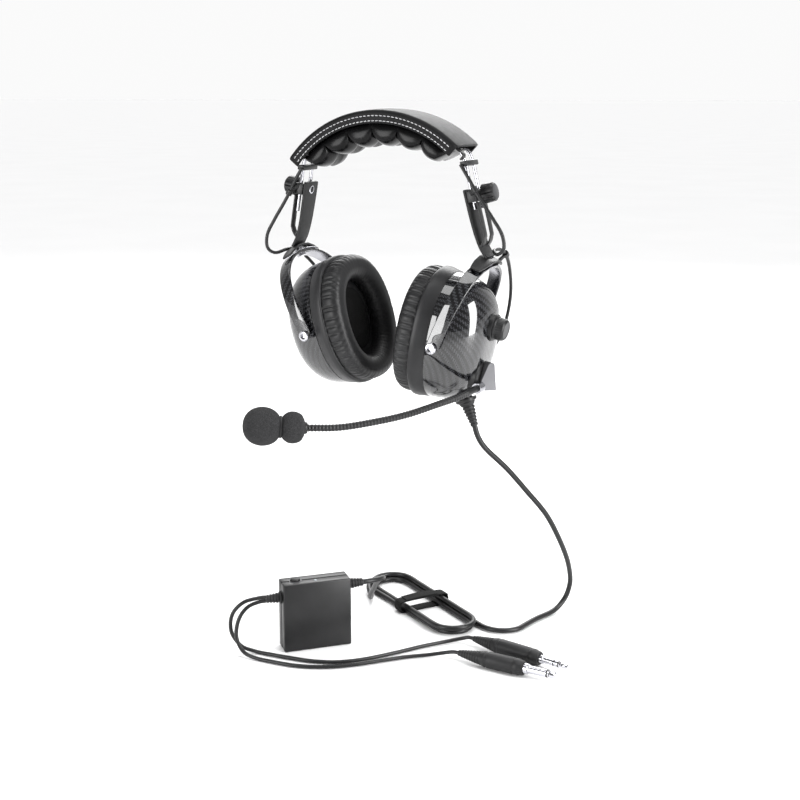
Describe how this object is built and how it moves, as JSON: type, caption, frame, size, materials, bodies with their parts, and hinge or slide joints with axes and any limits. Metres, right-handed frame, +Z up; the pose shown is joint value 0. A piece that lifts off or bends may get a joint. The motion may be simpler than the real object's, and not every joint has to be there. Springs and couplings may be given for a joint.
{
  "type": "aviation headset",
  "caption": "Over-ear aviation headset with a boom microphone, stitched head pad, forked yokes, in-line control box and two plugs.",
  "frame": {"origin": "middle of the wearer's head, on the line between the ears, midway between the ear cups", "axes": "+Z up over the head, -Y the way the wearer faces, +X to the wearer's left"},
  "size_m": [0.2787, 0.2755, 0.4344],
  "materials": {
    "black_leather": "soft satin",
    "bright_steel": "polished",
    "nickel": "polished",
    "carbon_weave": "clear-coated twill weave",
    "black_plastic": "fine grain",
    "grey_plastic": "fine grain",
    "black_rubber": "matte",
    "black_foam": "open-cell foam",
    "green_board": "solder mask"
  },
  "bodies": {
    "left_cup": {"left_cup_shell": "carbon_weave", "left_base_plate": "black_plastic", "left_ear_seal": "black_leather", "left_speaker": "bright_steel", "left_speaker_grille": "black_foam", "left_front_pivot_screw": "nickel", "left_rear_pivot_screw": "nickel", "volume_knob_base": "black_plastic", "boom_base": "black_plastic", "cord_gland": "black_plastic", "cord_boot": "black_rubber", "main_cord": "black_rubber", "cord_hank": "black_rubber", "cord_tie": "black_rubber", "box_cord": "black_rubber", "box_front": "black_plastic", "box_back": "black_plastic", "circuit_board": "green_board", "box_outlet_gland": "black_rubber", "box_inlet_gland": "black_rubber", "headphone_cord": "black_rubber", "microphone_cord": "black_rubber", "headphone_plug_body": "black_rubber", "headphone_plug_pin": "nickel", "microphone_plug_body": "black_rubber", "microphone_plug_pin": "nickel"},
    "left_yoke": {"left_yoke": "carbon_weave"},
    "left_arm": {"left_arm": "black_plastic", "left_slider_clamp": "black_plastic", "left_arm_foot": "black_plastic", "left_swivel_pin": "bright_steel", "left_ear_lead": "black_rubber"},
    "headband": {"front_band_rod": "bright_steel", "rear_band_rod": "bright_steel", "band_cover": "black_leather", "band_cushion": "black_leather", "left_band_bracket": "black_plastic", "right_band_bracket": "black_plastic"},
    "right_arm": {"right_arm": "black_plastic", "right_slider_clamp": "black_plastic", "right_arm_foot": "black_plastic", "right_swivel_pin": "bright_steel", "right_ear_lead": "black_rubber"},
    "right_yoke": {"right_yoke": "carbon_weave"},
    "right_cup": {"right_cup_shell": "carbon_weave", "right_base_plate": "black_plastic", "right_ear_seal": "black_leather", "right_speaker": "bright_steel", "right_speaker_grille": "black_foam", "right_front_pivot_screw": "nickel", "right_rear_pivot_screw": "nickel"},
    "boom": {"boom_block": "grey_plastic", "boom": "black_plastic", "mic_capsule": "black_plastic", "windscreen": "black_foam"},
    "volume_knob": {"volume_knob": "black_plastic"},
    "left_clamp_knob": {"left_clamp_knob": "black_plastic"},
    "right_clamp_knob": {"right_clamp_knob": "black_plastic"},
    "box_button": {"box_button": "black_rubber"}
  },
  "joints": [
    {"name": "left_cup_tilt", "type": "hinge", "parent": "left_cup", "child": "left_yoke", "pos_m": [0.05457, 0, 0.00456], "axis": [0, 1, 0], "range_deg": [-12, 12]},
    {"name": "left_yoke_swivel", "type": "hinge", "parent": "left_yoke", "child": "left_arm", "pos_m": [0.08171, 0, 0.06581], "axis": [0.4051, 0, 0.9143], "range_deg": [-10, 10]},
    {"name": "left_slide", "type": "slide", "parent": "left_arm", "child": "headband", "axis": [-0.2504, 0, 0.9681], "range_m": [-0.017, 0.003], "deforming": ["left_ear_lead"]},
    {"name": "right_slide", "type": "slide", "parent": "headband", "child": "right_arm", "axis": [-0.165, 0, -0.9863], "range_m": [-0.009, 0.011], "deforming": ["right_ear_lead"]},
    {"name": "right_yoke_swivel", "type": "hinge", "parent": "right_arm", "child": "right_yoke", "pos_m": [-0.08579, 0, 0.0665], "axis": [-0.4833, 0, 0.8755], "range_deg": [-4, 16]},
    {"name": "right_cup_tilt", "type": "hinge", "parent": "right_yoke", "child": "right_cup", "pos_m": [-0.05341, 0, 0.00785], "axis": [0.0915, 0.9945, 0.0505], "range_deg": [-12, 12]},
    {"name": "boom_swing", "type": "hinge", "parent": "left_cup", "child": "boom", "pos_m": [0.05056, -0.006, -0.01708], "axis": [0.9833, 0, -0.1822], "range_deg": [-50, 60]},
    {"name": "volume_turn", "type": "hinge", "parent": "left_cup", "child": "volume_knob", "pos_m": [0.05785, 0, 0.02225], "axis": [0.9833, 0, -0.1822], "range_deg": [-150, 150]},
    {"name": "left_clamp_turn", "type": "hinge", "parent": "left_arm", "child": "left_clamp_knob", "pos_m": [0.07194, 0, 0.11875], "axis": [0.9681, 0, 0.2504], "range_deg": [0, 270]},
    {"name": "right_clamp_turn", "type": "hinge", "parent": "right_arm", "child": "right_clamp_knob", "pos_m": [-0.08067, 0, 0.12009], "axis": [-0.9863, 0, 0.165], "range_deg": [0, 270]},
    {"name": "box_button_press", "type": "slide", "parent": "left_cup", "child": "box_button", "axis": [0, 0, -1], "range_m": [0, 0.001], "stiffness_N_per_m": 400}
  ]
}
